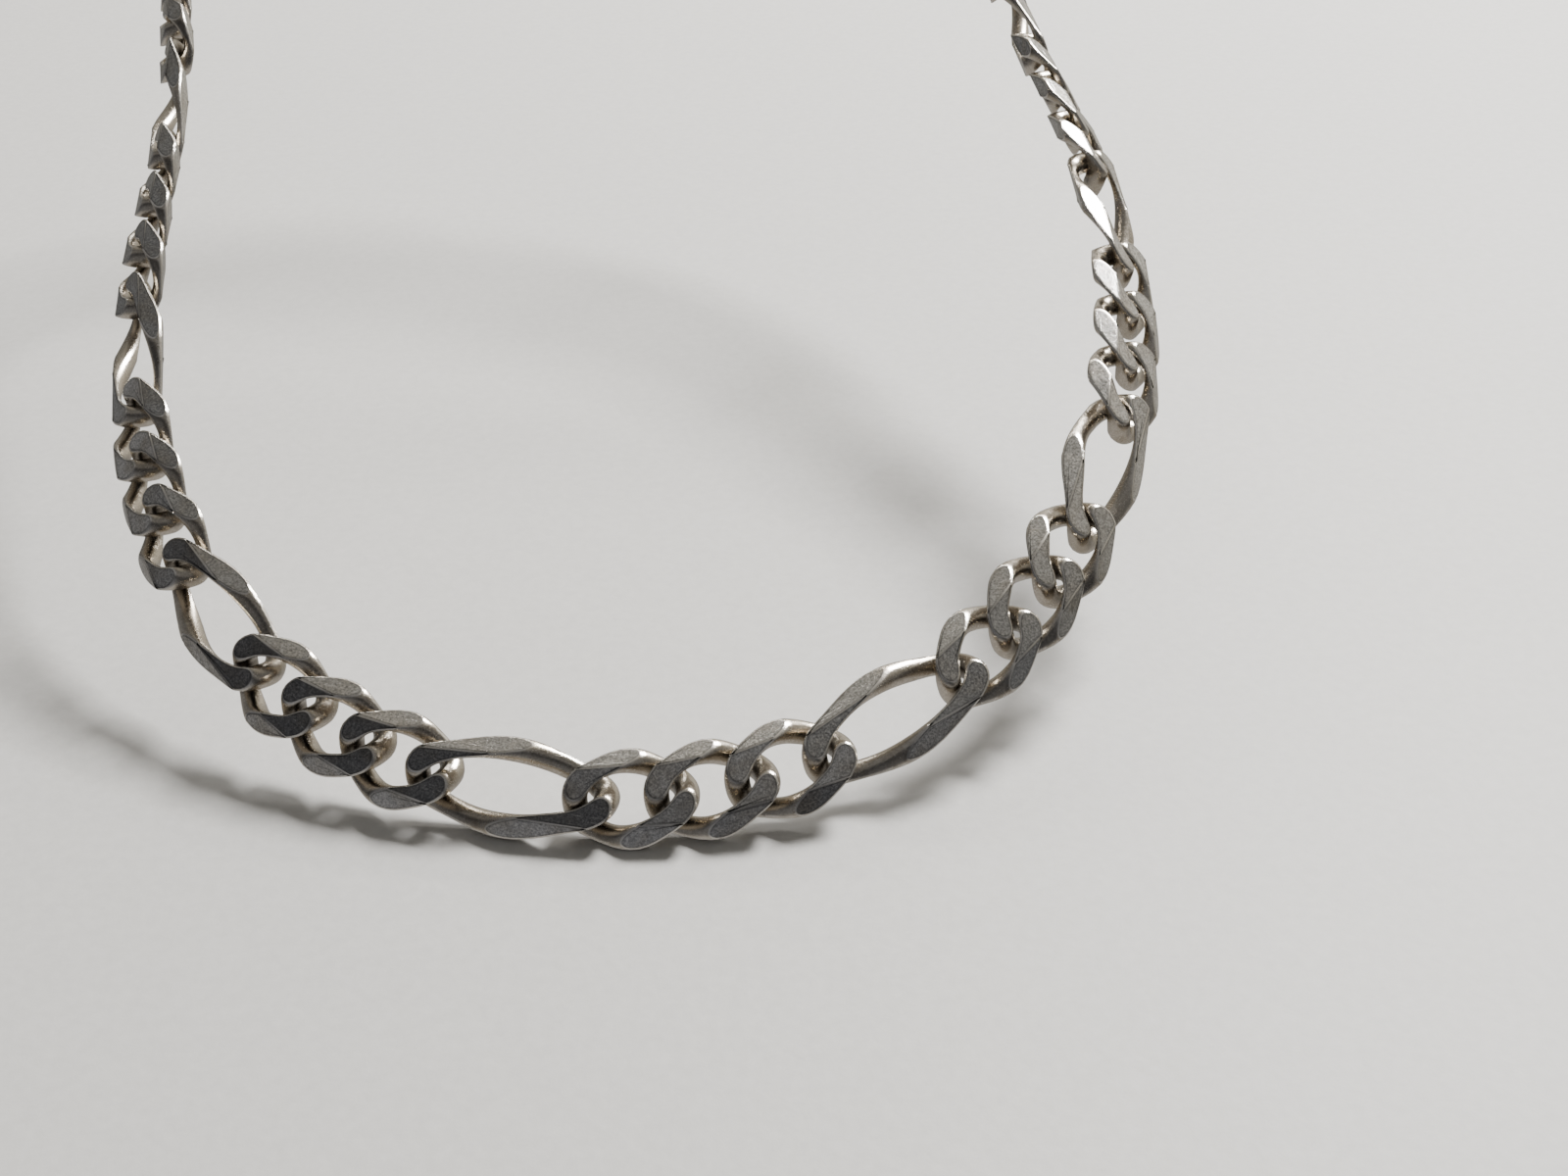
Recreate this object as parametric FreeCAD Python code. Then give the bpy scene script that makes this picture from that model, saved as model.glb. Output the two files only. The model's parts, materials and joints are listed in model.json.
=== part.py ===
import FreeCAD, Part
import math
import os

# Figaro chain necklace, closed round a neck: three short links and one long link, repeated,
# a jump ring, a lobster clasp with a sprung gate, and a soldered end ring.
# Every link is a round wire bent into a rounded oblong, twisted about its length and then
# filed flat on both faces, with a bevel along each side.
#
# Frame: millimetres, +Z up, -Y towards the front of the neck, +X to the right of someone
# facing it. The origin is the centre of the neck seat.

Vector = FreeCAD.Vector
Z_AXIS = Vector(0, 0, 1)

# The links.
LINK_WIDTH = 9.0            # across the chain, outside the wire
WIRE = 2.25                 # diameter of the link wire
SHORT_LENGTH = 12.0         # outside length of a short link
LONG_LENGTH = 19.3          # outside length of a long link
SHORT_PITCH = 7.1           # from one junction to the next, along a short link
LONG_PITCH = 14.4           # the same, along a long link
SHORT_TWIST = 50.0          # degrees that each end of a short link turns from its middle
LONG_TWIST = 52.0
SHORT_SQUARENESS = 2.5      # power of the superellipse: 2 is an ellipse, more is squarer
LONG_SQUARENESS = 2.8
FACE_HALF_GAP = 1.43        # from the link's middle to each filed face
BEVEL_START = 2.60          # from the link's long axis to where a side bevel begins
BEVEL_SLOPE = 35.0          # degrees that a side bevel falls away from the face
CENTRELINE_POINTS = 20

# The order of the links, from the front link round each side.
GROUP = ("short", "short", "short", "long")
RIGHT_GROUPS = 6
LEFT_GROUPS = 5             # and three more short links, which end at the jump ring

# The loop that the links follow. At an angle a from the front its distance from the
# Z axis and its height are sums of a few waves.
LOOP_RADIUS = 64.9
LOOP_TO_FRONT = 9.9         # the front reaches further from the neck's middle
LOOP_NARROWING = 16.5       # both sides come in to the neck
LOOP_POINT = 2.9            # the front comes to a soft point
LOOP_SKEW = 4.9             # the right of the front lies further out than the left
DROP_TO_FRONT = 27.2        # the front hangs below the nape
DROP_AT_ENDS = 2.2          # front and nape both lie a little low of the sides
DROP_POINT = 4.0
DROP_SKEW = 1.2             # the right side lies a little low
FRONT_LINK_START = -5.8     # the front link's middle, measured along the loop from the front
LOOP_STEPS = 5760

# How far a link's face leans up from facing straight out: steep where the chain rests on
# the chest, nearly upright round the nape.
LEAN = 26.4
LEAN_WAVES = (15.3, 4.6, 1.0)        # cosines of a, 2a and 3a
LEAN_SIDE_WAVES = (2.8, 4.0, 3.3)    # sines of a, 2a and 3a

# The clasp and the rings. Along the clasp u runs from the eyelet to the claw's tip, v
# goes across it to the gate side, and w is its thickness.
FREE_PLAY = 0.35            # between two pieces that hang in each other
JUMP_WIRE = 1.3
JUMP_INSIDE = 4.6
JUMP_SLIT = 0.12
RING_SHARE = 0.4            # how much of a link's twist its ring takes up
END_WIRE = 1.5
END_INSIDE = 7.1
EYELET_HOLE = 3.5
EYELET_WIRE = 1.2
CLASP_THICKNESS = 3.0
CLAW_CENTRE = 11.1
CLAW_HALF_LENGTH = 7.8
CLAW_HALF_WIDTH = 4.7
MOUTH_CENTRE = 13.1
MOUTH_HALF_LENGTH = 4.3
MOUTH_HALF_WIDTH = 2.6
NECK_WIDTH = 2.4
NECK_THICKNESS = 1.4
NECK_DEPTH = 1.2            # how far the neck is let into the claw
GATE_PIVOT = (6.1, 2.2)     # u and v of the gate's pin
GATE_TIP = 13.6             # u of the gate's free end
TIP_GAP = 0.4               # from there to the claw's nose, so that the tip can swing past
GATE_GAP = 0.15             # each side of the gate's heel
GAP_START = 7.1             # u and v where the claw is cut away for the gate's bar
GAP_FLOOR = 0.6
HEEL_SLOT = 2.2             # width of the slot for the gate's heel and spring
HEEL_START = 4.6            # u where the heel slot begins
SLOT_FLOOR = -1.2           # v of its floor, low enough for the gate to swing in
GATE_THICKNESS = 1.3
GATE_OFFSET = -0.3          # the gate sits to one side of the slot, beside its spring
GATE_HEEL_RADIUS = 1.35
TAB_RADIUS = 0.95
TAB_PLACE = (8.4, 5.0)
PIN_RADIUS = 0.45
PIN_CLEARANCE = 0.08
PIN_RECESS = 0.05           # the pin's ends lie this far below the claw's faces
SPRING_WIRE = 0.2
SPRING_RADIUS = 0.75
SPRING_TURNS = 2.0
SPRING_PITCH = 0.22
SPRING_CLEARANCE = 0.08
SPRING_POINTS_PER_TURN = 12
CLAW_BEVEL = 0.7
MOUTH_BEVEL = 0.45
MARGIN = 1.0                # how far a cutting shape reaches past what it cuts


def signed_power(value, power):
    return math.copysign(abs(value) ** power, value)


def link_centreline(length, twist, squareness):
    """The wire's middle line: a superellipse turned steadily about its long axis."""
    half_long = (length - WIRE) / 2
    half_wide = (LINK_WIDTH - WIRE) / 2
    points = []
    for step in range(CENTRELINE_POINTS):
        angle = 2 * math.pi * step / CENTRELINE_POINTS
        along = half_long * signed_power(math.cos(angle), 2 / squareness)
        across = half_wide * signed_power(math.sin(angle), 2 / squareness)
        turn = math.radians(twist) * along / half_long
        points.append(Vector(along, across * math.cos(turn), -across * math.sin(turn)))
    curve = Part.BSplineCurve()
    curve.interpolate(Points=points, PeriodicFlag=True)
    return curve


def filing_block(length):
    """A six-sided bar along X. What sticks out of it is filed away."""
    bevel_width = FACE_HALF_GAP / math.tan(math.radians(BEVEL_SLOPE))
    corner = BEVEL_START + bevel_width
    outline = [(BEVEL_START, FACE_HALF_GAP), (corner, 0), (BEVEL_START, -FACE_HALF_GAP),
               (-BEVEL_START, -FACE_HALF_GAP), (-corner, 0), (-BEVEL_START, FACE_HALF_GAP)]
    points = [Vector(-length, across, out) for across, out in outline]
    face = Part.Face(Part.makePolygon(points + points[:1]))
    return face.extrude(Vector(2 * length, 0, 0))


def round_wire(curve, first, last, diameter):
    """The solid wire along a stretch of its middle line."""
    section = Part.Circle(curve.value(first), curve.tangent(first)[0], diameter / 2)
    path = Part.Wire([curve.toShape(first, last)])
    return path.makePipeShell([Part.Wire([section.toShape()])], True, True)


def make_link(length, twist, squareness):
    """The link in its own axes, in two halves that meet at the middles of its ends."""
    curve = link_centreline(length, twist, squareness)
    first, last = curve.FirstParameter, curve.LastParameter
    middle = (first + last) / 2
    block = filing_block(length)
    halves = [round_wire(curve, first, middle, WIRE), round_wire(curve, middle, last, WIRE)]
    filed = [half.common(block) for half in halves]
    return filed[0].fuse(filed[1]).Solids[0], curve.length()


def loop_point(angle):
    """The loop's point at an angle from the front, turning towards the right."""
    radius = (LOOP_RADIUS + LOOP_TO_FRONT * math.cos(angle) + LOOP_NARROWING * math.cos(2 * angle)
              + LOOP_POINT * math.cos(3 * angle) + LOOP_SKEW * math.sin(2 * angle))
    height = -(DROP_TO_FRONT * math.cos(angle) + DROP_AT_ENDS * math.cos(2 * angle)
               + DROP_POINT * math.cos(3 * angle) + DROP_SKEW * math.sin(angle))
    return Vector(radius * math.sin(angle), -radius * math.cos(angle), height)


class Loop:
    """The loop measured by its length, so that pieces can be laid end to end along it."""

    def __init__(self):
        step = 2 * math.pi / LOOP_STEPS
        self.angles = [-math.pi + step * count for count in range(LOOP_STEPS + 1)]
        self.distances = [0.0]
        last = loop_point(self.angles[0])
        for angle in self.angles[1:]:
            point = loop_point(angle)
            self.distances.append(self.distances[-1] + last.distanceToPoint(point))
            last = point
        self.length = self.distances[-1]
        front = self.distances[LOOP_STEPS // 2]
        self.distances = [distance - front for distance in self.distances]

    def angle_at(self, distance):
        """The angle at a distance along the loop. The front is 0, the right side positive."""
        low, high = self.distances[0], self.distances[-1]
        turns = math.floor((distance - low) / self.length)
        distance -= turns * self.length
        first, last = 0, LOOP_STEPS
        while last - first > 1:
            middle = (first + last) // 2
            if self.distances[middle] <= distance:
                first = middle
            else:
                last = middle
        span = self.distances[last] - self.distances[first]
        share = (distance - self.distances[first]) / span
        angle = self.angles[first] + share * (self.angles[last] - self.angles[first])
        return angle + turns * 2 * math.pi

    def point_at(self, distance):
        return loop_point(self.angle_at(distance))

    def walk(self, distance, chords, way):
        """Distances reached by stepping straight chords from a distance, one way round."""
        reached = [distance]
        for chord in chords:
            start = self.point_at(distance)
            distance += way * chord
            for _ in range(6):
                distance += way * (chord - start.distanceToPoint(self.point_at(distance)))
            reached.append(distance)
        return reached


def lean_at(angle):
    lean = LEAN
    for wave, (size, side_size) in enumerate(zip(LEAN_WAVES, LEAN_SIDE_WAVES), start=1):
        lean += size * math.cos(wave * angle) + side_size * math.sin(wave * angle)
    return math.radians(lean)


def placement_between(start, end, angle, middle=None):
    """The place of a piece that runs from start to end, its face leaning as the chain does."""
    along = (end - start).normalize()
    outward = Vector(math.sin(angle), -math.cos(angle), 0)
    lean = lean_at(angle)
    face = outward * math.cos(lean) + Z_AXIS * math.sin(lean)
    face = (face - along * face.dot(along)).normalize()
    across = face.cross(along)
    if middle is None:
        middle = (start + end) / 2
    matrix = FreeCAD.Matrix(along.x, across.x, face.x, middle.x,
                            along.y, across.y, face.y, middle.y,
                            along.z, across.z, face.z, middle.z,
                            0, 0, 0, 1)
    return matrix


def placed(shape, matrix):
    return shape.transformed(matrix, True)


def chain_layout(loop):
    """Every link as (name, kind, start distance, end distance), left end to right end."""
    pitches = {"short": SHORT_PITCH, "long": LONG_PITCH}
    right_kinds = list(GROUP) * RIGHT_GROUPS
    left_kinds = list(GROUP) * LEFT_GROUPS + ["short"] * 3
    right_start = FRONT_LINK_START + LONG_PITCH / 2
    left_start = FRONT_LINK_START - LONG_PITCH / 2
    right = loop.walk(right_start, [pitches[kind] for kind in right_kinds], 1)
    left = loop.walk(left_start, [pitches[kind] for kind in left_kinds], -1)
    links = [("front_long_link", "long", left_start, right_start)]
    for side, kinds, ends in (("right", right_kinds, right), ("left", left_kinds, left)):
        counts = {"short": 0, "long": 0}
        for place, kind in enumerate(kinds):
            counts[kind] += 1
            name = f"{side}_{kind}_link_{counts[kind]:02d}"
            if side == "right":
                links.append((name, kind, ends[place], ends[place + 1]))
            else:
                links.insert(0, (name, kind, ends[place + 1], ends[place]))
    return links


def ellipse_plate(centre, half_length, half_width, thickness):
    ellipse = Part.Ellipse(Vector(centre, 0, -thickness / 2), half_length, half_width)
    face = Part.Face(Part.Wire([ellipse.toShape()]))
    return face.extrude(Vector(0, 0, thickness))


def brick(u_range, v_range, w_range):
    size = [high - low for low, high in (u_range, v_range, w_range)]
    return Part.makeBox(*size, Vector(u_range[0], v_range[0], w_range[0]))


def disk(centre, radius, thickness):
    return Part.makeCylinder(radius, thickness, Vector(centre[0], centre[1], -thickness / 2))


def stacked_ellipses(centre, half_length, half_width, levels):
    """A solid whose outline grows or shrinks by each level's amount at that level's height."""
    wires = []
    for height, growth in levels:
        ellipse = Part.Ellipse(Vector(centre, 0, height), half_length + growth, half_width + growth)
        wires.append(Part.Wire([ellipse.toShape()]))
    return Part.makeLoft(wires, True, True)


def make_claw():
    """The claw before its gate is cut: an oval with both rims bevelled, and its mouth."""
    half = CLASP_THICKNESS / 2
    shoulder = half - CLAW_BEVEL
    claw = stacked_ellipses(CLAW_CENTRE, CLAW_HALF_LENGTH, CLAW_HALF_WIDTH,
                            [(-half, -CLAW_BEVEL), (-shoulder, 0), (shoulder, 0), (half, -CLAW_BEVEL)])
    lip = half - MOUTH_BEVEL
    past = half + MOUTH_BEVEL
    mouth = stacked_ellipses(MOUTH_CENTRE, MOUTH_HALF_LENGTH, MOUTH_HALF_WIDTH,
                             [(-past, 2 * MOUTH_BEVEL), (-lip, 0), (lip, 0), (past, 2 * MOUTH_BEVEL)])
    return claw.cut(mouth)


def make_clasp_body():
    """Eyelet, neck and claw in one piece, cut away where the gate and its spring sit."""
    past_face = CLASP_THICKNESS / 2 + MARGIN
    past_side = CLAW_HALF_WIDTH + MARGIN
    gap = brick((GAP_START, GATE_TIP + TIP_GAP), (GAP_FLOOR, past_side), (-past_face, past_face))
    slot_side = GATE_OFFSET - GATE_THICKNESS / 2 - GATE_GAP
    slot = brick((HEEL_START, GATE_TIP), (SLOT_FLOOR, past_side), (slot_side, slot_side + HEEL_SLOT))
    eyelet = Part.makeTorus((EYELET_HOLE + EYELET_WIRE) / 2, EYELET_WIRE / 2)
    neck = brick((EYELET_HOLE / 2 + EYELET_WIRE / 3, CLAW_CENTRE - CLAW_HALF_LENGTH + NECK_DEPTH),
                 (-NECK_WIDTH / 2, NECK_WIDTH / 2), (-NECK_THICKNESS / 2, NECK_THICKNESS / 2))
    pin_hole = disk(GATE_PIVOT, PIN_RADIUS, 2 * CLASP_THICKNESS)
    body = make_claw().cut([gap, slot, pin_hole]).fuse([neck, eyelet])
    return body.removeSplitter().Solids[0]


def make_gate_lever():
    """The gate: a curved bar from the pin to the claw's nose, with a thumb tab."""
    thickness = GATE_THICKNESS
    outside = ellipse_plate(CLAW_CENTRE, CLAW_HALF_LENGTH, CLAW_HALF_WIDTH, thickness)
    inside = ellipse_plate(MOUTH_CENTRE, MOUTH_HALF_LENGTH, MOUTH_HALF_WIDTH, 2 * thickness)
    stretch = brick((GATE_PIVOT[0], GATE_TIP), (GAP_FLOOR, CLAW_HALF_WIDTH + MARGIN),
                    (-thickness, thickness))
    bar = outside.common(stretch).cut(inside)
    heel = disk(GATE_PIVOT, GATE_HEEL_RADIUS, thickness)
    tab = disk(TAB_PLACE, TAB_RADIUS, thickness)
    pin_hole = disk(GATE_PIVOT, PIN_RADIUS + PIN_CLEARANCE, 2 * thickness)
    lever = bar.fuse([heel, tab]).cut(pin_hole)
    lever = lever.removeSplitter().Solids[0]
    lever.translate(Vector(0, 0, GATE_OFFSET))
    return lever


def make_gate_pin():
    return disk(GATE_PIVOT, PIN_RADIUS, CLASP_THICKNESS - 2 * PIN_RECESS)


def make_gate_spring():
    """A torsion coil round the pin, beside the gate's heel."""
    base = GATE_OFFSET + GATE_THICKNESS / 2 + SPRING_WIRE / 2 + SPRING_CLEARANCE
    points = []
    for step in range(int(SPRING_TURNS * SPRING_POINTS_PER_TURN) + 1):
        turns = step / SPRING_POINTS_PER_TURN
        angle = 2 * math.pi * turns
        points.append(Vector(GATE_PIVOT[0] + SPRING_RADIUS * math.cos(angle),
                             GATE_PIVOT[1] + SPRING_RADIUS * math.sin(angle),
                             base + SPRING_PITCH * turns))
    coil = Part.BSplineCurve()
    coil.interpolate(Points=points)
    return round_wire(coil, coil.FirstParameter, coil.LastParameter, SPRING_WIRE)


def make_ring(inside, wire, lean, slit=0.0):
    """A ring in the plane of X and a direction leaning from Z by lean degrees."""
    ring = Part.makeTorus((inside + wire) / 2, wire / 2, Vector(0, 0, 0), Vector(0, 1, 0))
    if slit:
        ring = ring.cut(brick((-slit / 2, slit / 2), (-wire, wire), (0, inside)))
    ring.rotate(Vector(0, 0, 0), Vector(1, 0, 0), lean)
    return ring


def add_links(parts, loop):
    shapes = {
        "short": make_link(SHORT_LENGTH, SHORT_TWIST, SHORT_SQUARENESS),
        "long": make_link(LONG_LENGTH, LONG_TWIST, LONG_SQUARENESS),
    }
    for kind, (shape, path_length) in shapes.items():
        full = path_length * math.pi * WIRE ** 2 / 4
        print(f"{kind} link: {shape.Volume:.1f} of {full:.1f} mm3 left after filing,",
              "valid" if shape.isValid() else "NOT VALID")
    links = chain_layout(loop)
    for name, kind, start, end in links:
        angle = loop.angle_at((start + end) / 2)
        matrix = placement_between(loop.point_at(start), loop.point_at(end), angle)
        parts[name] = placed(shapes[kind][0], matrix)
    return links


def add_fastening(parts, loop, links):
    """The jump ring and clasp on the chain's left end, and the end ring on its right end."""
    past_junction = (SHORT_LENGTH - SHORT_PITCH) / 2 - WIRE - FREE_PLAY / 2
    jump_chord = JUMP_INSIDE - FREE_PLAY
    end_chord = END_INSIDE - FREE_PLAY
    left_end = links[0][2]
    right_end = links[-1][3]
    jump_start, jump_end = loop.walk(left_end - past_junction, [jump_chord], -1)
    ring_start, ring_end = loop.walk(right_end + past_junction, [end_chord], 1)
    ring_end -= loop.length
    # Each ring leans part of the way from the clasp's cross line to its link's end wire.
    matrix = placement_between(loop.point_at(jump_end), loop.point_at(jump_start),
                               loop.angle_at((jump_start + jump_end) / 2))
    jump_ring = make_ring(JUMP_INSIDE, JUMP_WIRE, SHORT_TWIST * RING_SHARE, JUMP_SLIT)
    parts["jump_ring"] = placed(jump_ring, matrix)
    matrix = placement_between(loop.point_at(ring_start), loop.point_at(ring_end),
                               loop.angle_at((ring_start + ring_end + loop.length) / 2))
    parts["end_ring"] = placed(make_ring(END_INSIDE, END_WIRE, -LONG_TWIST * RING_SHARE), matrix)
    # The clasp runs from the jump ring to the end ring, away from the left end of the chain.
    near = loop.point_at(jump_end)
    far = loop.point_at(ring_end)
    along = (far - near).normalize()
    eyelet = near + along * (EYELET_HOLE - FREE_PLAY) / 2
    angle = loop.angle_at((jump_end + ring_end) / 2)
    matrix = placement_between(near, far, angle, eyelet)
    mouth_end = MOUTH_CENTRE + MOUTH_HALF_LENGTH
    play = mouth_end - (far - eyelet).dot(along)
    print(f"play of the end ring in the claw: {play:.2f} mm")
    parts["clasp_body"] = placed(make_clasp_body(), matrix)
    parts["gate_lever"] = placed(make_gate_lever(), matrix)
    parts["gate_pin"] = placed(make_gate_pin(), matrix)
    parts["gate_spring"] = placed(make_gate_spring(), matrix)


def main():
    loop = Loop()
    print(f"loop length {loop.length:.1f} mm")
    parts = {}
    links = add_links(parts, loop)
    add_fastening(parts, loop, links)
    os.makedirs("parts", exist_ok=True)
    for name, shape in parts.items():
        if not shape.isValid():
            print(f"{name} is not valid")
        shape.exportStep(f"parts/{name}.step")
    print(f"{len(parts)} pieces written")


main()
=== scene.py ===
import json
import math

import bmesh
import bpy
import numpy as np
from mathutils import Matrix, Vector


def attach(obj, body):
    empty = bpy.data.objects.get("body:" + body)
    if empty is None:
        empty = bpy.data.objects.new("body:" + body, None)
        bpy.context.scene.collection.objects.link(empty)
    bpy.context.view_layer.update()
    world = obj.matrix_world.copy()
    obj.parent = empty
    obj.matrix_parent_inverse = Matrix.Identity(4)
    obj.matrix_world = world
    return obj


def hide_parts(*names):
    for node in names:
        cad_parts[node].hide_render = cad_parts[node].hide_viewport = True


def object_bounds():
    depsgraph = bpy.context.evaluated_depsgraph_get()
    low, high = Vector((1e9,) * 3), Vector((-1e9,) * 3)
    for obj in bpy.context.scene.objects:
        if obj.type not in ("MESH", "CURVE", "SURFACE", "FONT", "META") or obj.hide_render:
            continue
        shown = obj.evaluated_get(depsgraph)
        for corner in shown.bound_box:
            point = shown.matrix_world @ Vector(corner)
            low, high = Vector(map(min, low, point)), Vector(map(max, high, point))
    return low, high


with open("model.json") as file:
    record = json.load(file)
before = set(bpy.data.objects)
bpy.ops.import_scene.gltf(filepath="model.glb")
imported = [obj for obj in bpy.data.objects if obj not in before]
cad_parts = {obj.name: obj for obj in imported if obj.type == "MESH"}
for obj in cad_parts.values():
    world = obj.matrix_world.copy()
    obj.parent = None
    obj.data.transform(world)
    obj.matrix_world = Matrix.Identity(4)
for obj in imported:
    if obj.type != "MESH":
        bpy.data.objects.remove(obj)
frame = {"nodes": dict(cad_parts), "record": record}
cad_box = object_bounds()

# The looks of a worn silver figaro chain: every link is made again as a round wire with
# filed faces and worn rims, in the place of its plain CAD link.

MM = 0.001

# The links, as in the CAD model.
LINK_WIDTH = 9.0 * MM
WIRE = 2.25 * MM
FACE_HALF_GAP = 1.43 * MM       # from the link's middle to each filed face
BEVEL_START = 2.60 * MM         # from the long axis to where a side bevel begins
BEVEL_SLOPE = math.radians(35)
LINK_KINDS = {                  # length, twist of each end, squareness
    "short": (12.0 * MM, math.radians(50), 2.5),
    "long": (19.3 * MM, math.radians(52), 2.8),
}

# The finish of the links.
LINE_SAMPLES = 8001             # fine points that the even steps along a link are read from
STEPS_ALONG = {"short": 132, "long": 184}
STEPS_ROUND = 28
RIM_WIDTH = 0.17 * MM           # of the worn rim round each filed face
RIM_DROP = 0.07 * MM            # how far handling has worn its outer edge down
RIM_CLEAR = 0.14 * MM           # the round wire has no finer detail than this beside a rim
EDGE_LINE = 0.36 * MM           # reach of the rim colour along an edge: painted shade where it is dark, bright wear where it is light
FILING_TILT = math.radians(1.3)  # how far one filed face strays from true
FILING_DEPTH = 0.03 * MM
MERGE_DISTANCE = 1e-7
SEED = 20

# The surface of worn silver.
SPECKLE_SCALE = 5200
PATCH_SCALE = 420
SEED_SPREAD = 40.0              # how far apart two links' noises lie
CREVICE_REACH = 1.3 * MM
SCRATCH_STRETCH = (150, 9000, 200)
SCRATCH_TURNS = (0.5, -0.9)
SCRATCH_DEPTH = 0.004 * MM

# A link's materials: 0 is the round wire's.
FILED_SLOT, EDGE_SLOT = 1, 2


# Geometry of the links

def signed_power(value, power):
    return np.sign(value) * np.abs(value) ** power


def centreline(kind, count):
    """Evenly spaced points along the wire's middle: a superellipse twisted along x."""
    length, twist, squareness = LINK_KINDS[kind]
    angle = np.linspace(0, 2 * np.pi, LINE_SAMPLES)
    half_long = (length - WIRE) / 2
    half_wide = (LINK_WIDTH - WIRE) / 2
    along = half_long * signed_power(np.cos(angle), 2 / squareness)
    across = half_wide * signed_power(np.sin(angle), 2 / squareness)
    turn = twist * along / half_long
    line = np.stack([along, across * np.cos(turn), -across * np.sin(turn)], axis=1)
    travelled = np.concatenate([[0], np.cumsum(np.linalg.norm(np.diff(line, axis=0), axis=1))])
    stops = np.linspace(0, travelled[-1], count, endpoint=False)
    return np.stack([np.interp(stops, travelled, line[:, axis]) for axis in range(3)], axis=1)


def add_round_wire(bm, kind):
    """A closed tube of quads along the link's middle line, with u along and v round the wire."""
    line = centreline(kind, STEPS_ALONG[kind])
    ahead = np.roll(line, -1, axis=0) - np.roll(line, 1, axis=0)
    ahead /= np.linalg.norm(ahead, axis=1)[:, None]
    side = np.cross(ahead, [0, 0, 1])
    side /= np.linalg.norm(side, axis=1)[:, None]
    up = np.cross(side, ahead)
    rings = []
    for centre, right, top in zip(line, side, up):
        ring = []
        for step in range(STEPS_ROUND):
            angle = 2 * math.pi * step / STEPS_ROUND
            offset = right * math.cos(angle) + top * math.sin(angle)
            ring.append(bm.verts.new(centre + offset * WIRE / 2))
        rings.append(ring)
    uv = bm.loops.layers.uv.new("along_wire")
    count = len(rings)
    for place in range(count):
        here, there = rings[place], rings[(place + 1) % count]
        for step in range(STEPS_ROUND):
            after = (step + 1) % STEPS_ROUND
            face = bm.faces.new((here[step], there[step], there[after], here[after]))
            face.smooth = True
            corners = ((place, step), (place + 1, step), (place + 1, step + 1), (place, step + 1))
            for loop, (u_step, v_step) in zip(face.loops, corners):
                loop[uv].uv = (u_step / count, v_step / STEPS_ROUND)


def filing_planes(rng):
    """Point and outward normal of the six filed planes, each a little off true."""
    planes = []
    for face_side in (1, -1):
        corner = Vector((0, 0, face_side * FACE_HALF_GAP))
        normals = [Vector((0, 0, face_side))]
        corners = [corner]
        for edge_side in (1, -1):
            normals.append(Vector((0, edge_side * math.sin(BEVEL_SLOPE),
                                   face_side * math.cos(BEVEL_SLOPE))))
            corners.append(corner + Vector((0, edge_side * BEVEL_START, 0)))
        for point, normal in zip(corners, normals):
            tilt = Vector(rng.uniform(-1, 1, 3)) * math.sin(FILING_TILT)
            depth = rng.uniform(-1, 0) * FILING_DEPTH
            planes.append((point + normal * depth, (normal + tilt).normalized()))
    return planes


def file_flat(bm, point, normal):
    """Cuts away what lies beyond a plane, and closes the cut with flat faces."""
    everything = bm.verts[:] + bm.edges[:] + bm.faces[:]
    cut = bmesh.ops.bisect_plane(bm, geom=everything, plane_co=point, plane_no=normal,
                                 clear_outer=True)
    rim = [item for item in cut["geom_cut"] if isinstance(item, bmesh.types.BMEdge)]
    filled = bmesh.ops.holes_fill(bm, edges=rim, sides=0)
    for face in filled["faces"]:
        face.material_index = FILED_SLOT
        face.smooth = False


def filed_faces(bm):
    return [face for face in bm.faces if face.material_index == FILED_SLOT]


def wear_rims(bm):
    """Gives every filed face a narrow rim, worn down at its outer edge as by handling."""
    corners = dict.fromkeys(vert for face in filed_faces(bm) for vert in face.verts)
    bmesh.ops.remove_doubles(bm, verts=list(corners), dist=RIM_CLEAR / 2)
    filed = filed_faces(bm)
    outward = {vert: Vector() for face in filed for vert in face.verts}
    for face in filed:
        face.normal_update()
        for vert in face.verts:
            outward[vert] += face.normal
    close = bmesh.ops.find_doubles(bm, verts=bm.verts[:], keep_verts=list(outward), dist=RIM_CLEAR)
    bmesh.ops.weld_verts(bm, targetmap=close["targetmap"])
    made = bmesh.ops.inset_individual(bm, faces=filed, thickness=RIM_WIDTH)
    for face in made["faces"]:
        face.material_index = EDGE_SLOT
        face.smooth = True
    for vert, normal in outward.items():
        vert.co -= normal.normalized() * RIM_DROP


def link_mesh(name, kind, rng):
    bm = bmesh.new()
    add_round_wire(bm, kind)
    for point, normal in filing_planes(rng):
        file_flat(bm, point, normal)
    wear_rims(bm)
    bmesh.ops.dissolve_degenerate(bm, dist=MERGE_DISTANCE, edges=bm.edges[:])
    mesh = bpy.data.meshes.new(name)
    bm.to_mesh(mesh)
    bm.free()
    return mesh


# Places taken from the CAD model

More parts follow.
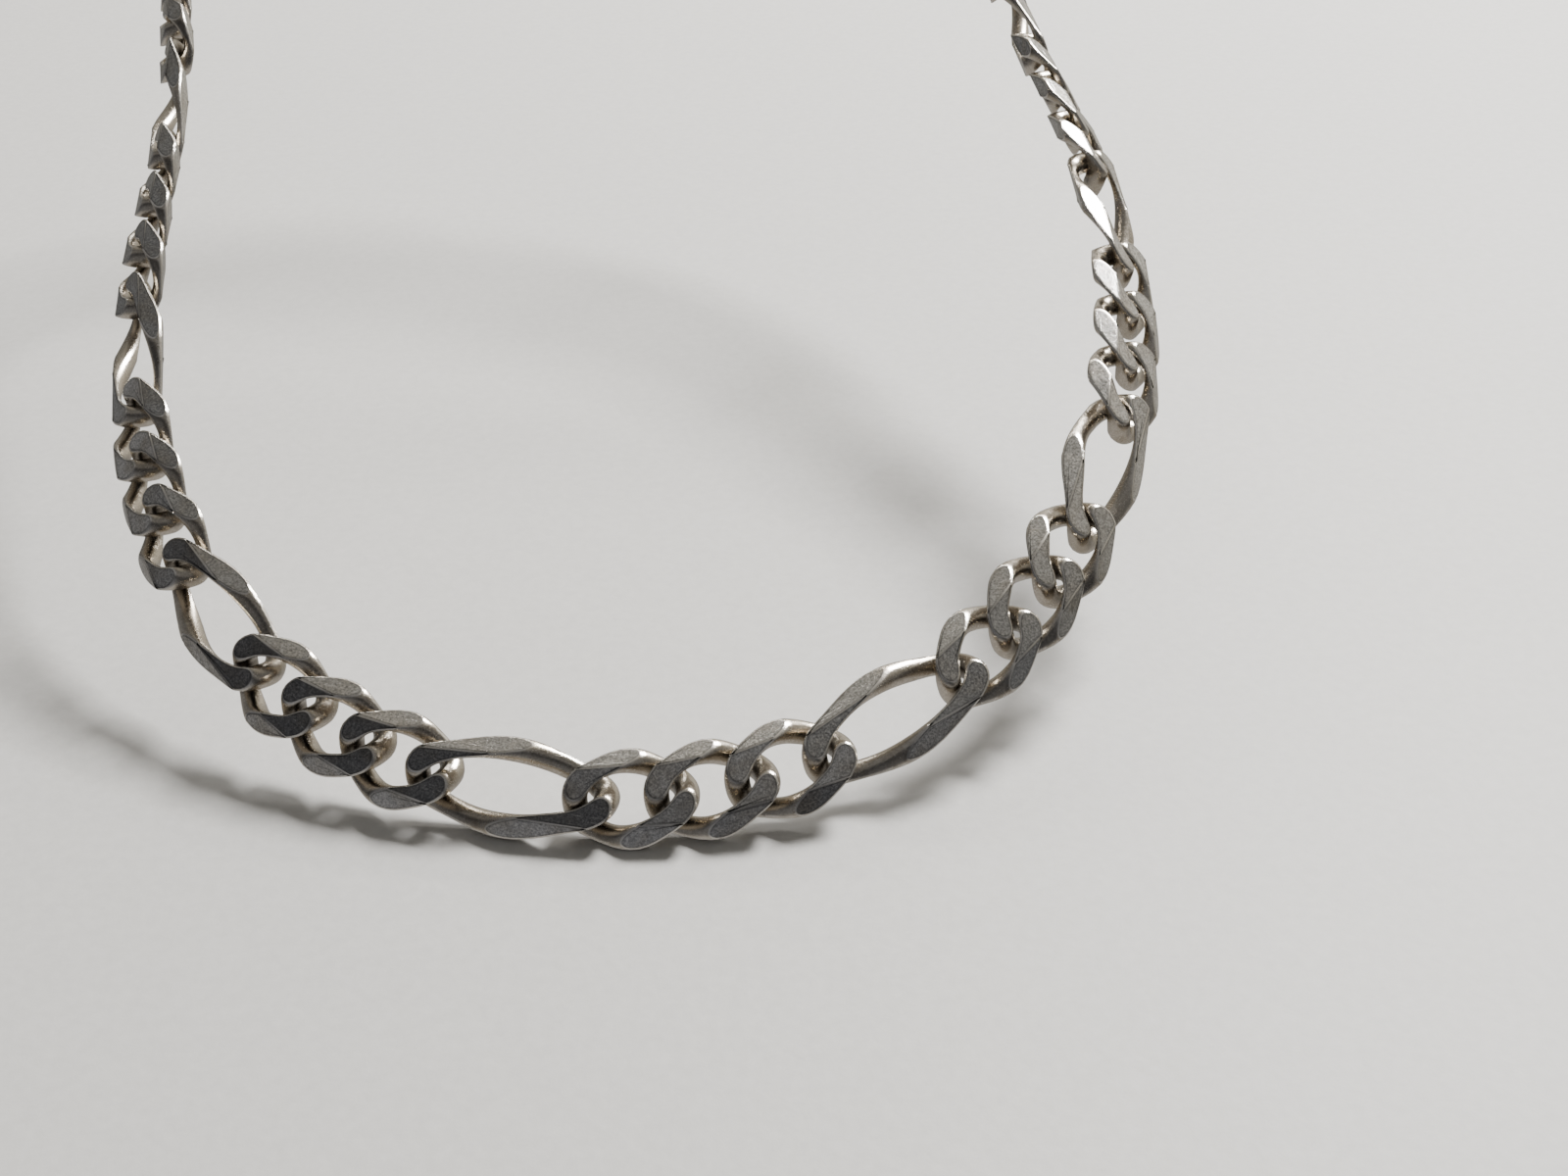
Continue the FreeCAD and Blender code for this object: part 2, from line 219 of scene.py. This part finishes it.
def mesh_axes(node):
    """Centre of volume and principal axes of a CAD node, longest first, right-handed."""
    mesh = node.data
    mesh.calc_loop_triangles()
    points = np.empty(len(mesh.vertices) * 3)
    mesh.vertices.foreach_get("co", points)
    points = points.reshape(-1, 3)
    corners = np.empty(len(mesh.loop_triangles) * 3, dtype=int)
    mesh.loop_triangles.foreach_get("vertices", corners)
    triangles = points[corners.reshape(-1, 3)]
    origin = points.mean(axis=0)
    triangles = triangles - origin
    volumes = np.linalg.det(triangles) / 6
    total = volumes.sum()
    sums = triangles.sum(axis=1)
    centre = (volumes[:, None] * sums).sum(axis=0) / (4 * total)
    second = (np.einsum("t,ti,tj->ij", volumes, sums, sums)
              + np.einsum("t,tci,tcj->ij", volumes, triangles, triangles)) / 20
    spread = second / total - np.outer(centre, centre)
    axes = np.linalg.eigh(spread)[1][:, ::-1]
    if np.linalg.det(axes) < 0:
        axes[:, 2] *= -1
    return centre + origin, axes


def placed_matrix(centre, axes):
    matrix = Matrix.Identity(4)
    for row in range(3):
        for column in range(3):
            matrix[row][column] = axes[row][column]
        matrix[row][3] = centre[row]
    return matrix


# Materials

class Nodes:
    """A short way to write a material's node tree."""

    def __init__(self, name):
        self.material = bpy.data.materials.new(name)
        self.material.use_nodes = True
        self.tree = self.material.node_tree
        self.shader = self.tree.nodes["Principled BSDF"]

    def add(self, kind, settings=None, **inputs):
        node = self.tree.nodes.new("ShaderNode" + kind)
        for key, value in (settings or {}).items():
            setattr(node, key, value)
        for key, value in inputs.items():
            self.feed(node, key.replace("_", " "), value)
        return node

    def feed(self, node, key, value):
        """Links or sets the socket with this name. "input0" means the first socket."""
        numbered = key.startswith("input")
        socket = node.inputs[int(key.removeprefix("input")) if numbered else key]
        if isinstance(value, bpy.types.NodeSocket):
            self.tree.links.new(value, socket)
        else:
            socket.default_value = value

    def noise(self, where, scale, detail, roughness, w=0.0):
        node = self.add("TexNoise", {"noise_dimensions": "4D"}, Vector=where, Scale=scale,
                        Detail=detail, Roughness=roughness, W=w)
        return node.outputs["Fac"]

    def scaled(self, where, stretch, turn):
        node = self.add("Mapping", Vector=where, Scale=stretch, Rotation=turn)
        return node.outputs["Vector"]

    def remap(self, value, low, high, to_low, to_high):
        node = self.add("MapRange", Value=value)
        for key, number in (("From Min", low), ("From Max", high),
                            ("To Min", to_low), ("To Max", to_high)):
            node.inputs[key].default_value = number
        return node.outputs["Result"]

    def math(self, operation, first, second):
        node = self.add("Math", {"operation": operation}, input0=first, input1=second)
        return node.outputs["Value"]

    def blend(self, factor, first, second, how="MIX"):
        node = self.add("Mix", {"data_type": "RGBA", "blend_type": how}, input0=factor,
                        input6=first, input7=second)
        return node.outputs[2]

    def bump(self, height, depth, strength, normal=None):
        node = self.add("Bump", Height=height, Distance=depth, Strength=strength)
        if normal is not None:
            self.feed(node, "Normal", normal)
        return node.outputs["Normal"]


def rgb(red, green, blue):
    return (red, green, blue, 1.0)


TARNISH_TINT = rgb(0.62, 0.56, 0.47)
# Near black colour for the crevices and between the links: painted shade, with tarnish.
CREVICE_SHADE_AND_TARNISH = rgb(0.05, 0.04, 0.03)


def silver(name, light, dark, rim, gloss, grain):
    """Worn silver. Grain, tarnish, edges lined with the rim colour (painted shade where it is
    dark, bright wear where it is light), painted shade and tarnish in the crevices, and hairline
    scratches.
    """
    nodes = Nodes(name)
    place = nodes.add("TexCoord").outputs["Object"]
    seed = nodes.math("MULTIPLY", nodes.add("ObjectInfo").outputs["Random"], SEED_SPREAD)
    speckle = nodes.noise(place, SPECKLE_SCALE, 3.0, 0.75, seed)
    patches = nodes.noise(place, PATCH_SCALE, 2.0, 0.5, seed)
    colour = nodes.blend(nodes.remap(speckle, 0.36, 0.64, 0, 1), dark, light)
    tarnish = nodes.remap(patches, 0.42, 0.7, 0, 0.6)
    colour = nodes.blend(tarnish, colour, TARNISH_TINT, "MULTIPLY")
    # Painted shade and tarnish: the colour darkens towards near black where ambient occlusion
    # finds surfaces close by.
    crevice = nodes.add("AmbientOcclusion", {"samples": 16}, Distance=CREVICE_REACH)
    painted_shade_and_tarnish = nodes.remap(crevice.outputs["AO"], 0.0, 0.8, 1, 0)
    colour = nodes.blend(painted_shade_and_tarnish, colour, CREVICE_SHADE_AND_TARNISH)
    rounded = nodes.add("Bevel", {"samples": 4}, Radius=EDGE_LINE).outputs["Normal"]
    true_normal = nodes.add("NewGeometry").outputs["Normal"]
    agreement = nodes.add("VectorMath", {"operation": "DOT_PRODUCT"},
                          input0=rounded, input1=true_normal)
    # Near the edges the colour turns to the rim colour: a near black rim is painted shade, a
    # bright rim is worn polish.
    edge = nodes.remap(agreement.outputs["Value"], 0.999, 0.986, 0, 0.9)
    colour = nodes.blend(edge, colour, rim)
    nodes.feed(nodes.shader, "Base Color", colour)
    nodes.feed(nodes.shader, "Metallic", 1.0)
    uneven = nodes.remap(nodes.math("ADD", speckle, patches), 0.75, 1.25, gloss[0], gloss[1])
    nodes.feed(nodes.shader, "Roughness", uneven)
    normal = nodes.bump(speckle, grain * MM, 1.0, rounded)
    for turn in SCRATCH_TURNS:
        stretched = nodes.scaled(place, SCRATCH_STRETCH, (0, 0, turn))
        hairs = nodes.remap(nodes.noise(stretched, 1.0, 2.0, 0.5, seed), 0.64, 0.70, 0, 1)
        normal = nodes.bump(hairs, SCRATCH_DEPTH, 0.8, normal)
    nodes.feed(nodes.shader, "Normal", normal)
    return nodes.material


def link_materials():
    # Near black line painted along the filed faces' edges as shade.
    painted_edge_shade = rgb(0.05, 0.042, 0.035)
    shine = rgb(0.93, 0.90, 0.85)
    return [
        silver("round_wire_silver", rgb(0.72, 0.67, 0.59), rgb(0.52, 0.47, 0.40), shine,
               (0.14, 0.30), 0.004),
        silver("filed_silver", rgb(0.92, 0.91, 0.89), rgb(0.42, 0.415, 0.41), painted_edge_shade,
               (0.13, 0.26), 0.013),
        silver("worn_edge_silver", rgb(0.95, 0.93, 0.89), rgb(0.80, 0.77, 0.72), shine,
               (0.12, 0.22), 0.003),
    ]


# Pieces

def add_links(nodes):
    materials = link_materials()
    rng = np.random.default_rng(SEED)
    bodies = {node: body for body, members in frame["record"]["behaviour"]["bodies"].items()
              for node in members}
    for name in sorted(nodes):
        kind = "short" if "_short_" in name else "long" if "_long_" in name else None
        if kind is None:
            continue
        mesh = link_mesh("filed_" + name, kind, rng)
        for material in materials:
            mesh.materials.append(material)
        piece = bpy.data.objects.new("filed_" + name, mesh)
        piece.matrix_world = placed_matrix(*mesh_axes(nodes[name]))
        bpy.context.scene.collection.objects.link(piece)
        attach(piece, bodies[name])
        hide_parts(name)


def finish_cad_nodes(nodes):
    # Dark line painted along the edges of the clasp parts as shade.
    painted_edge_shade = rgb(0.10, 0.09, 0.08)
    material = silver("clasp_silver", rgb(0.66, 0.63, 0.58), rgb(0.34, 0.32, 0.29), painted_edge_shade,
                      (0.20, 0.34), 0.009)
    steel = silver("spring_steel", rgb(0.60, 0.60, 0.61), rgb(0.42, 0.42, 0.43), painted_edge_shade,
                   (0.15, 0.30), 0.002)
    for name, node in nodes.items():
        if "_link" in name:
            continue
        chosen = steel if name in ("gate_pin", "gate_spring") else material
        for slot in node.material_slots:
            slot.material = chosen


# Stage

LIGHTS = (                      # places are from the middle of the chain
    {"name": "key", "place": Vector((0.38, 0.45, 0.58)), "size": (0.26, 0.20),
     "power": 17, "colour": (1.0, 0.98, 0.95)},
    {"name": "back_strip", "place": Vector((0.10, 0.62, 0.42)), "size": (0.70, 0.05),
     "power": 1.6, "colour": (1.0, 0.97, 0.92)},
)


def add_light(target, name, place, size, power, colour):
    data = bpy.data.lights.new(name, "AREA")
    data.shape = "RECTANGLE"
    data.size, data.size_y = size
    data.energy = power
    data.color = colour
    light = bpy.data.objects.new(name, data)
    light.location = target + place
    light.rotation_euler = (-place).to_track_quat("-Z", "Y").to_euler()
    bpy.context.scene.collection.objects.link(light)


BRIGHT_SIDE = Vector((0.45, 0.80, 0.30)).normalized()
WORLD_STOPS = (                 # place from the dark side (0) to the bright side (1), colour
    (0.07, rgb(0.15, 0.15, 0.155)),
    (0.28, rgb(0.04, 0.04, 0.042)),
    (0.36, rgb(0.06, 0.06, 0.063)),
    (0.47, rgb(0.22, 0.215, 0.21)),
    (0.62, rgb(0.11, 0.11, 0.11)),
    (0.85, rgb(0.365, 0.345, 0.30)),
    (1.0, rgb(0.81, 0.765, 0.67)),
)
BELOW_COLOUR = rgb(0.46, 0.44, 0.41)
BELOW_START, BELOW_FULL = -0.25, -0.75      # height of the direction, from -1 to 1


def add_world():
    """Soft warm light from behind, dark towards the front, and pale below like the floor."""
    world = bpy.data.worlds.new("studio")
    world.use_nodes = True
    tree = world.node_tree
    place = tree.nodes.new("ShaderNodeTexCoord")
    facing = tree.nodes.new("ShaderNodeVectorMath")
    facing.operation = "DOT_PRODUCT"
    facing.inputs[1].default_value = BRIGHT_SIDE
    span = tree.nodes.new("ShaderNodeMapRange")
    span.inputs["From Min"].default_value = -1
    ramp = tree.nodes.new("ShaderNodeValToRGB")
    stops = ramp.color_ramp.elements
    stops.remove(stops[0])
    stops[0].position, stops[0].color = WORLD_STOPS[-1]
    for position, colour in WORLD_STOPS[:-1]:
        stops.new(position).color = colour
    height = tree.nodes.new("ShaderNodeSeparateXYZ")
    below = tree.nodes.new("ShaderNodeMapRange")
    below.inputs["From Min"].default_value = BELOW_START
    below.inputs["From Max"].default_value = BELOW_FULL
    mix = tree.nodes.new("ShaderNodeMix")
    mix.data_type = "RGBA"
    mix.inputs[7].default_value = BELOW_COLOUR
    tree.links.new(place.outputs["Generated"], facing.inputs[0])
    tree.links.new(place.outputs["Generated"], height.inputs[0])
    tree.links.new(facing.outputs["Value"], span.inputs["Value"])
    tree.links.new(span.outputs["Result"], ramp.inputs[0])
    tree.links.new(height.outputs["Z"], below.inputs["Value"])
    tree.links.new(below.outputs["Result"], mix.inputs[0])
    tree.links.new(ramp.outputs[0], mix.inputs[6])
    tree.links.new(mix.outputs[2], tree.nodes["Background"].inputs[0])
    bpy.context.scene.world = world


FLOOR_REACH = 3.0


def add_floor(height):
    """A pale floor. Shiny surfaces don't see it, so that the links' undersides don't glare."""
    mesh = bpy.data.meshes.new("floor")
    signs = ((-1, -1), (1, -1), (1, 1), (-1, 1))
    corners = [(right * FLOOR_REACH, back * FLOOR_REACH, height) for right, back in signs]
    mesh.from_pydata(corners, [], [range(len(corners))])
    nodes = Nodes("pale_floor")
    place = nodes.add("TexCoord").outputs["Object"]
    grain = nodes.noise(place, 900, 4.0, 0.6)
    colour = nodes.blend(nodes.remap(grain, 0.3, 0.7, 0, 1), rgb(0.66, 0.655, 0.64),
                         rgb(0.72, 0.715, 0.70))
    nodes.feed(nodes.shader, "Base Color", colour)
    nodes.feed(nodes.shader, "Roughness", 0.55)
    nodes.feed(nodes.shader, "Normal", nodes.bump(grain, 0.05 * MM, 0.5))
    mesh.materials.append(nodes.material)
    floor = bpy.data.objects.new("floor", mesh)
    floor.visible_glossy = False
    bpy.context.scene.collection.objects.link(floor)


# The camera looks down on the front of the chain from close by.
CAMERA_AZIMUTH = math.radians(-0.34)
CAMERA_HEIGHT = math.radians(33)
CAMERA_ROLL = math.radians(-1.37)
CAMERA_DISTANCE = 289.6 * MM
CAMERA_TARGET = Vector((19.2, 0, -73.2)) * MM
CAMERA_LENS = 49.95             # this and the sensor's width are in mm, as Blender has them
SENSOR_WIDTH = 36
CLIP_START, CLIP_END = 0.01, 50


def add_camera():
    away = Vector((math.sin(CAMERA_AZIMUTH) * math.cos(CAMERA_HEIGHT),
                   -math.cos(CAMERA_AZIMUTH) * math.cos(CAMERA_HEIGHT), math.sin(CAMERA_HEIGHT)))
    data = bpy.data.cameras.new("camera")
    data.lens = CAMERA_LENS
    data.sensor_width = SENSOR_WIDTH
    data.clip_start = CLIP_START
    data.clip_end = CLIP_END
    camera = bpy.data.objects.new("camera", data)
    level = (-away).to_track_quat("-Z", "Y").to_matrix().to_4x4()
    turned = level @ Matrix.Rotation(CAMERA_ROLL, 4, "Z")
    camera.matrix_world = Matrix.Translation(CAMERA_TARGET + away * CAMERA_DISTANCE) @ turned
    bpy.context.scene.collection.objects.link(camera)
    bpy.context.scene.camera = camera


def main():
    nodes = frame["nodes"]
    add_camera()
    add_links(nodes)
    finish_cad_nodes(nodes)
    low, high = (Vector(corner) for corner in cad_box)
    middle = (low + high) / 2
    add_floor(low.z)
    add_world()
    for light in LIGHTS:
        add_light(middle, **light)


main()
